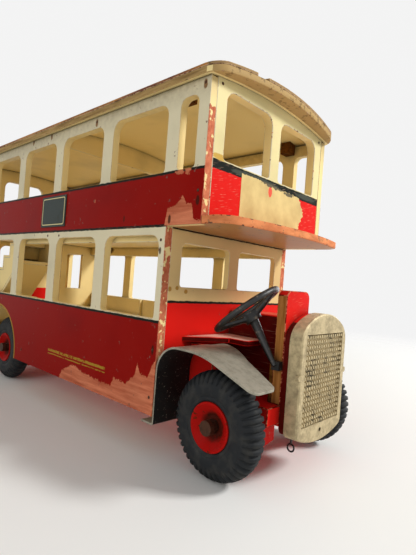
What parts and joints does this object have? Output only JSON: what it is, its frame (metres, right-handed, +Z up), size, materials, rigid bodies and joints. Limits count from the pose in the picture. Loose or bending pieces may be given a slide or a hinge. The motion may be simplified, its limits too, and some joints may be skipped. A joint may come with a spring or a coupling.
{
  "type": "vintage toy double decker bus",
  "caption": "Painted wooden push-along double decker bus with an open half cab, cast radiator, rear platform and stairs, and rubber-tyred wheels that turn.",
  "frame": {"origin": "middle of the bounding box on the floor the wheels stand on", "axes": "+X forward, +Y to the nearside (left), +Z up"},
  "size_m": [0.462, 0.147, 0.2493],
  "materials": {
    "red_wood": "worn gloss paint",
    "cream_wood": "worn gloss paint",
    "roof_wood": "dirty worn paint",
    "bare_wood": "bare brown wood",
    "cast_metal": "dull cast",
    "sheet_metal": "dull sheet",
    "black_metal": "worn black paint",
    "steel": "brown with age",
    "red_metal": "chipped gloss paint",
    "tyre": "matte aged rubber",
    "plate_paint": "blank plate"
  },
  "bodies": {
    "bus": {"upper_side_offside": "cream_wood", "upper_side_nearside": "cream_wood", "lower_side_offside": "red_wood", "lower_side_nearside": "red_wood", "roof": "roof_wood", "upper_floor": "cream_wood", "upper_front_wall": "cream_wood", "upper_rear_wall": "cream_wood", "lower_rear_wall": "red_wood", "cab_back_wall": "cream_wood", "saloon_bulkhead": "cream_wood", "saloon_floor": "cream_wood", "chassis_board": "red_wood", "stair_steps": "cream_wood", "stair_stringer_outer": "cream_wood", "stair_stringer_inner": "cream_wood", "bench_nearside": "cream_wood", "bench_offside": "cream_wood", "batten_nearside": "cream_wood", "batten_offside": "cream_wood", "roof_former": "cream_wood", "bonnet": "red_wood", "dash": "red_wood", "cab_floor": "red_wood", "cab_panel": "red_wood", "radiator": "cast_metal", "radiator_backing": "red_wood", "steering_column": "black_metal", "steering_wheel": "black_metal", "mudguard_offside": "sheet_metal", "mudguard_nearside": "sheet_metal", "route_plate": "plate_paint", "towing_eye": "black_metal", "front_axle": "steel", "rear_axle": "steel", "front_hangers": "red_wood", "rear_hangers": "red_wood", "roof_skin": "roof_wood", "roof_cleats": "bare_wood", "toe_board": "bare_wood", "stair_soffit": "cream_wood"},
    "wheel_front_offside": {"tyre_front_offside": "tyre", "disc_front_offside": "red_metal"},
    "wheel_front_nearside": {"tyre_front_nearside": "tyre", "disc_front_nearside": "red_metal"},
    "wheel_rear_offside": {"tyre_rear_offside": "tyre", "disc_rear_offside": "red_metal"},
    "wheel_rear_nearside": {"tyre_rear_nearside": "tyre", "disc_rear_nearside": "red_metal"}
  },
  "joints": [
    {"name": "front_offside_wheel_turn", "type": "hinge", "parent": "bus", "child": "wheel_front_offside", "pos_m": [0.1929, -0.053, 0.032], "axis": [0, 1, 0], "continuous": true},
    {"name": "front_nearside_wheel_turn", "type": "hinge", "parent": "bus", "child": "wheel_front_nearside", "pos_m": [0.1929, 0.053, 0.032], "axis": [0, 1, 0], "continuous": true},
    {"name": "rear_offside_wheel_turn", "type": "hinge", "parent": "bus", "child": "wheel_rear_offside", "pos_m": [-0.0971, -0.053, 0.032], "axis": [0, 1, 0], "continuous": true},
    {"name": "rear_nearside_wheel_turn", "type": "hinge", "parent": "bus", "child": "wheel_rear_nearside", "pos_m": [-0.0971, 0.053, 0.032], "axis": [0, 1, 0], "continuous": true}
  ]
}
